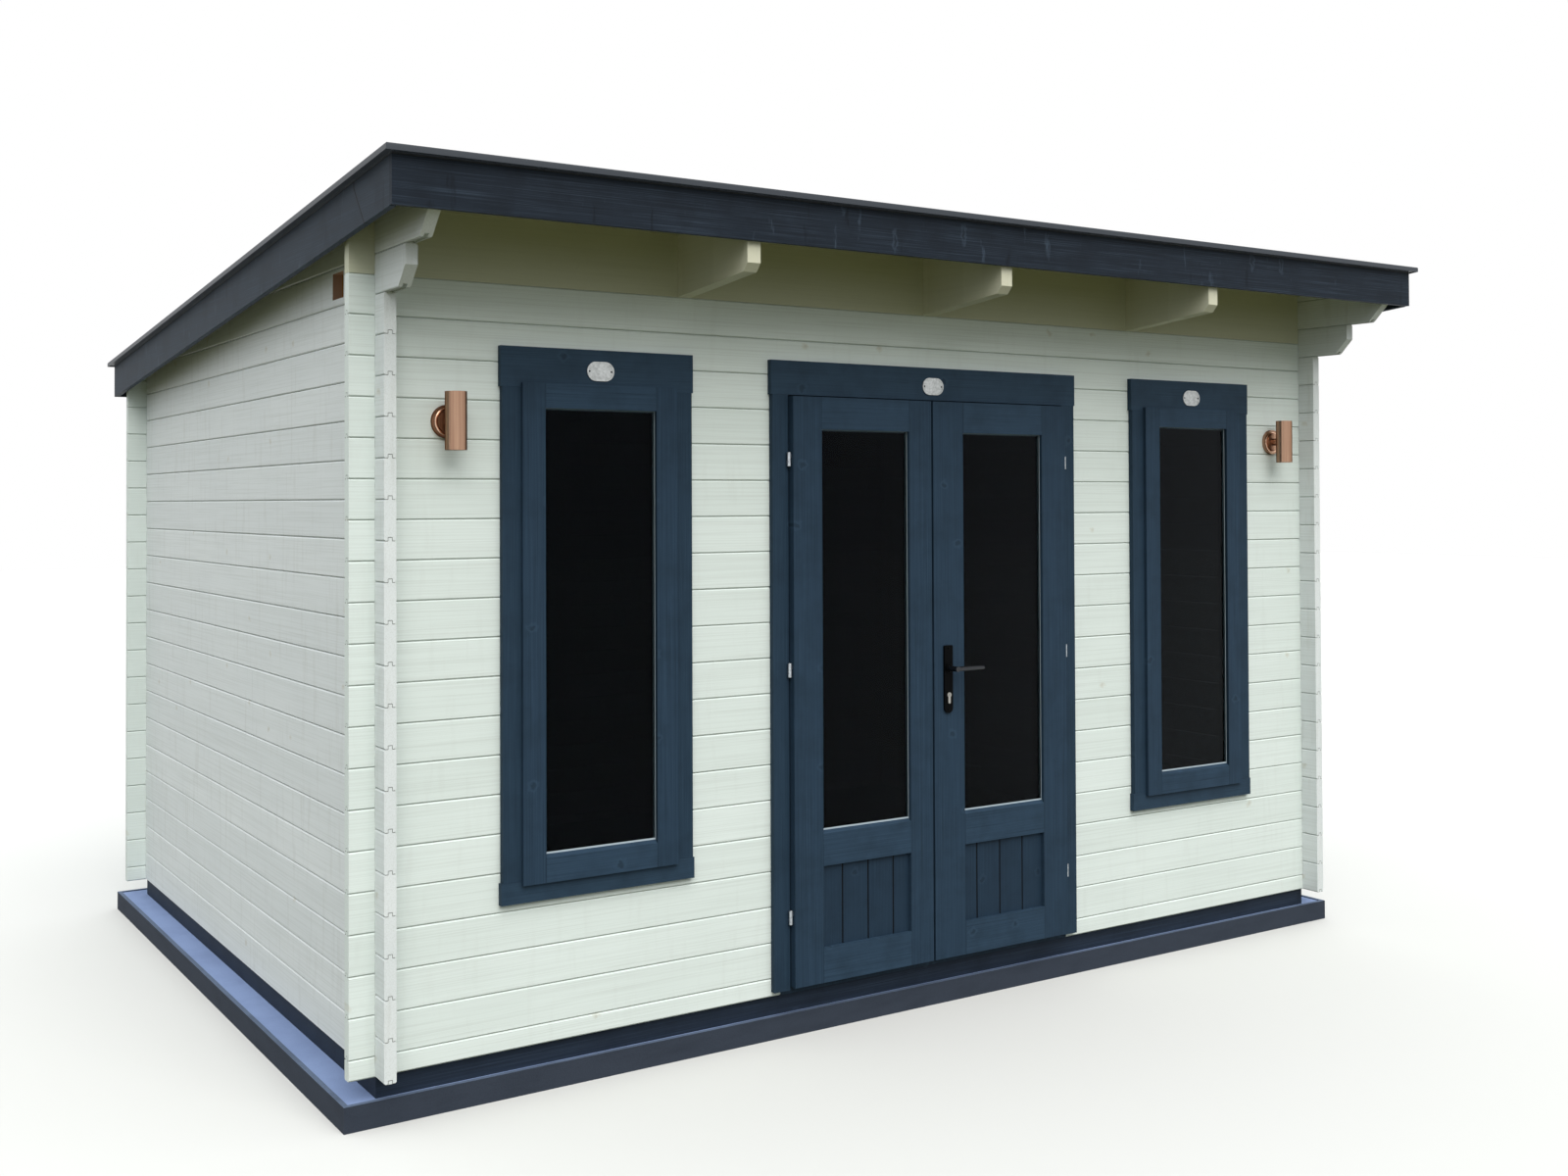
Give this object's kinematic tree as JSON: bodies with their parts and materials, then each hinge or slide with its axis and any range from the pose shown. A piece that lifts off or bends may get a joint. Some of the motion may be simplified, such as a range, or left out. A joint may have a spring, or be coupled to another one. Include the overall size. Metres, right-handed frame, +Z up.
{
  "type": "garden office pod",
  "caption": "Log built garden office with a single slope roof, glazed double doors, tall side windows, overhanging eaves and cylinder wall lamps.",
  "frame": {"origin": "on the ground under the middle of the roof's outline", "axes": "+X to the right seen from the front, +Y from the front to the back, +Z up"},
  "size_m": [4.172, 3.456, 2.6321],
  "materials": {
    "white_paint": "opaque off-white painted spruce logs, flat sheen",
    "white_trim": "opaque off-white painted planed rafters and roof boards, flat sheen",
    "anthracite_paint": "opaque anthracite blue-grey painted boards, flat",
    "anthracite_joinery": "opaque anthracite blue-grey painted planed joinery, low sheen",
    "anthracite_bearer": "anthracite painted pressure treated bearers, flat",
    "concrete": "smooth cast concrete, cool grey",
    "edging": "dark concrete edging strip",
    "spruce": "bare planed spruce boards",
    "rubber_sheet": "black rubber roof sheet, matt",
    "edge_trim": "anthracite powder coated roof edge trim",
    "glass": "sealed double glass units",
    "zinc": "bright zinc plated hinges",
    "black_metal": "black satin coated door furniture",
    "nickel": "satin nickel key cylinder",
    "copper": "copper coloured brushed and lacquered lamp bodies",
    "oval_metal": "plain silvery metal oval plates"
  },
  "bodies": {
    "root": {"plinth_slab": "concrete", "plinth_edging": "edging", "bearers": "anthracite_bearer", "floor": "spruce", "front_left_lower_logs": "white_paint", "front_left_outer_logs": "white_paint", "front_left_inner_logs": "white_paint", "front_right_lower_logs": "white_paint", "front_right_outer_logs": "white_paint", "front_right_inner_logs": "white_paint", "front_upper_logs": "white_paint", "front_top_board": "white_paint", "back_wall": "white_paint", "left_wall": "white_paint", "right_wall": "white_paint", "left_vent_log": "white_paint", "left_bracket_logs": "white_paint", "right_bracket_logs": "white_paint", "vent_shutter": "spruce", "rafters": "white_trim", "roof_deck": "white_trim", "roof_sheet": "rubber_sheet", "roof_edge_trim": "edge_trim", "front_fascia": "anthracite_paint", "back_fascia": "anthracite_paint", "left_barge_board": "anthracite_paint", "right_barge_board": "anthracite_paint", "left_window_frame": "anthracite_joinery", "left_window_casement": "anthracite_joinery", "left_window_glass": "glass", "left_window_boards": "anthracite_joinery", "right_window_frame": "anthracite_joinery", "right_window_casement": "anthracite_joinery", "right_window_glass": "glass", "right_window_boards": "anthracite_joinery", "door_frame": "anthracite_joinery", "door_boards": "anthracite_joinery", "frame_hinges": "zinc", "left_lamp": "copper", "right_lamp": "copper", "oval_plates": "oval_metal"},
    "left_leaf": {"left_door": "anthracite_joinery", "left_door_glass": "glass", "left_door_panel": "anthracite_joinery", "left_door_hinges": "zinc"},
    "right_leaf": {"right_door": "anthracite_joinery", "right_door_glass": "glass", "right_door_panel": "anthracite_joinery", "right_door_hinges": "zinc", "handle_plates": "black_metal", "lock_cylinder": "nickel"},
    "lever": {"lever_handle": "black_metal"}
  },
  "joints": [
    {"name": "left_door_hinge", "type": "hinge", "parent": "root", "child": "left_leaf", "pos_m": [-0.598, -1.308, 1.178], "axis": [0, 0, -1], "range_deg": [0, 110]},
    {"name": "right_door_hinge", "type": "hinge", "parent": "root", "child": "right_leaf", "pos_m": [0.598, -1.308, 1.178], "axis": [0, 0, 1], "range_deg": [0, 110]},
    {"name": "lever_turn", "type": "hinge", "parent": "right_leaf", "child": "lever", "pos_m": [0.04, -1.322, 1.152], "axis": [0, 1, 0], "range_deg": [0, 45], "stiffness_Nm_per_rad": 1, "springref_deg": -17.19}
  ]
}
